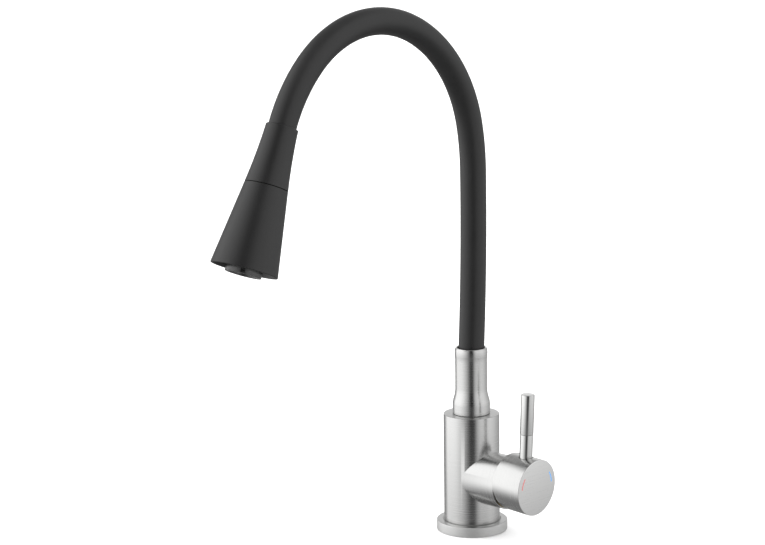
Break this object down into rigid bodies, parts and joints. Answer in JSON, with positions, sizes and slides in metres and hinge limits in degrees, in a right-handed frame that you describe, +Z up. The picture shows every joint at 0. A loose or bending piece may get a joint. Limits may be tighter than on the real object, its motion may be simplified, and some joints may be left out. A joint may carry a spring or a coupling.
{
  "type": "kitchen mixer tap with flexible spout",
  "caption": "Single-lever kitchen mixer in brushed stainless steel with a bendable silicone-sleeved spout and a conical two-mode spray head.",
  "frame": {"origin": "centre of the base ring's underside, on the body's axis, where it stands on the deck", "axes": "+Z up along the body, the spout points to -Y and the lever branch points to +X"},
  "size_m": [0.0981, 0.2903, 0.423],
  "materials": {
    "brushed_stainless": "satin brushed stainless steel",
    "polished_stainless": "polished stainless steel",
    "brass": "machined brass",
    "steel": "plain machined steel",
    "gooseneck_steel": "wound steel wire",
    "rubber": "moulded black rubber",
    "black_silicone": "matt extruded silicone",
    "nozzle_rubber": "soft grey rubber",
    "black_plastic": "soft-touch matt plastic",
    "aerator_plastic": "moulded plastic",
    "acetal": "moulded acetal",
    "hose_plastic": "extruded hose plastic",
    "ceramic": "lapped ceramic",
    "red_enamel": "enamel fill",
    "blue_enamel": "enamel fill"
  },
  "bodies": {
    "faucet_body": {"base_ring": "brushed_stainless", "base_gasket": "rubber", "body_shell": "brushed_stainless", "valve_block": "brass", "cartridge_base_seal": "rubber", "cartridge_base": "acetal", "cartridge_housing": "acetal", "fixed_ceramic_disc": "ceramic", "cartridge_nut": "brass", "swivel_bush": "acetal"},
    "cartridge_turret": {"stem_turret": "acetal", "stem_pin": "steel"},
    "disc_slider": {"moving_ceramic_disc": "ceramic", "disc_carrier": "acetal"},
    "handle": {"lever_stem": "steel", "handle_cap": "brushed_stainless", "grub_screw": "steel", "lever_rod": "polished_stainless", "lever_sleeve": "polished_stainless", "hot_mark": "red_enamel", "cold_mark": "blue_enamel"},
    "spout_base": {"spout_collar": "brushed_stainless", "swivel_spigot": "brass", "spigot_o_rings": "rubber", "split_ring": "acetal", "hose_ferrule_lower": "steel", "neck_sleeve_0": "black_silicone", "gooseneck_0": "gooseneck_steel", "water_hose_0": "hose_plastic"},
    "neck_1": {"neck_sleeve_1": "black_silicone", "gooseneck_1": "gooseneck_steel", "water_hose_1": "hose_plastic"},
    "neck_2": {"neck_sleeve_2": "black_silicone", "gooseneck_2": "gooseneck_steel", "water_hose_2": "hose_plastic"},
    "neck_3": {"neck_sleeve_3": "black_silicone", "gooseneck_3": "gooseneck_steel", "water_hose_3": "hose_plastic"},
    "neck_4": {"neck_sleeve_4": "black_silicone", "gooseneck_4": "gooseneck_steel", "water_hose_4": "hose_plastic"},
    "neck_5": {"neck_sleeve_5": "black_silicone", "gooseneck_5": "gooseneck_steel", "water_hose_5": "hose_plastic"},
    "neck_6": {"neck_sleeve_6": "black_silicone", "gooseneck_6": "gooseneck_steel", "water_hose_6": "hose_plastic", "hose_ferrule_upper": "steel"},
    "spray_grip": {"head_grip": "black_plastic", "swivel_nut": "black_plastic", "head_washer": "rubber", "diverter_core": "acetal", "core_o_rings": "rubber"},
    "spray_cone": {"cone_shell": "black_plastic", "flow_distributor": "acetal", "spray_face": "black_plastic", "spray_nozzles": "nozzle_rubber", "aerator_housing": "aerator_plastic", "flow_regulator": "acetal", "aerator_screen": "steel"}
  },
  "joints": [
    {"name": "spout_swivel", "type": "hinge", "parent": "faucet_body", "child": "spout_base", "pos_m": [0, 0, 0.0955], "axis": [0, 0, 1], "continuous": true},
    {"name": "neck_bend_1", "type": "hinge", "parent": "spout_base", "child": "neck_1", "pos_m": [0, 0.00256, 0.19394], "axis": [1, 0, 0], "range_deg": [-25, 18]},
    {"name": "neck_sway_1", "type": "hinge", "parent": "neck_1", "child": "neck_2", "pos_m": [0, 0.0038, 0.25392], "axis": [0, -1, 0.0052], "range_deg": [-22, 22]},
    {"name": "neck_bend_2", "type": "hinge", "parent": "neck_2", "child": "neck_3", "pos_m": [0, 0.00174, 0.31583], "axis": [1, 0, 0], "range_deg": [-25, 18]},
    {"name": "neck_bend_3", "type": "hinge", "parent": "neck_3", "child": "neck_4", "pos_m": [0, -0.02371, 0.37569], "axis": [1, 0, 0], "range_deg": [-25, 18]},
    {"name": "neck_sway_2", "type": "hinge", "parent": "neck_4", "child": "neck_5", "pos_m": [0, -0.08079, 0.41043], "axis": [0, -0.2131, -0.977], "range_deg": [-22, 22]},
    {"name": "neck_bend_4", "type": "hinge", "parent": "neck_5", "child": "neck_6", "pos_m": [0, -0.1469, 0.40183], "axis": [1, 0, 0], "range_deg": [-25, 18]},
    {"name": "head_swivel", "type": "hinge", "parent": "neck_6", "child": "spray_grip", "pos_m": [0, -0.20683, 0.32365], "axis": [0, -0.3746, -0.9272], "continuous": true},
    {"name": "mode_turn", "type": "hinge", "parent": "spray_grip", "child": "spray_cone", "pos_m": [0, -0.21601, 0.30093], "axis": [0, -0.3746, -0.9272], "range_deg": [0, 90]},
    {"name": "temperature_turn", "type": "hinge", "parent": "faucet_body", "child": "cartridge_turret", "pos_m": [0.032, 0, 0.045], "axis": [1, 0, 0], "range_deg": [-50, 50]},
    {"name": "flow_lift", "type": "hinge", "parent": "cartridge_turret", "child": "handle", "pos_m": [0.032, 0, 0.045], "axis": [0, 1, 0], "range_deg": [0, 18]},
    {"name": "disc_slide", "type": "slide", "parent": "cartridge_turret", "child": "disc_slider", "axis": [0, 0, 1], "range_m": [0, 0.0023]}
  ],
  "couplings": [
    {"joint": "disc_slide", "follows": "flow_lift", "m_per_rad": 0.00704}
  ]
}
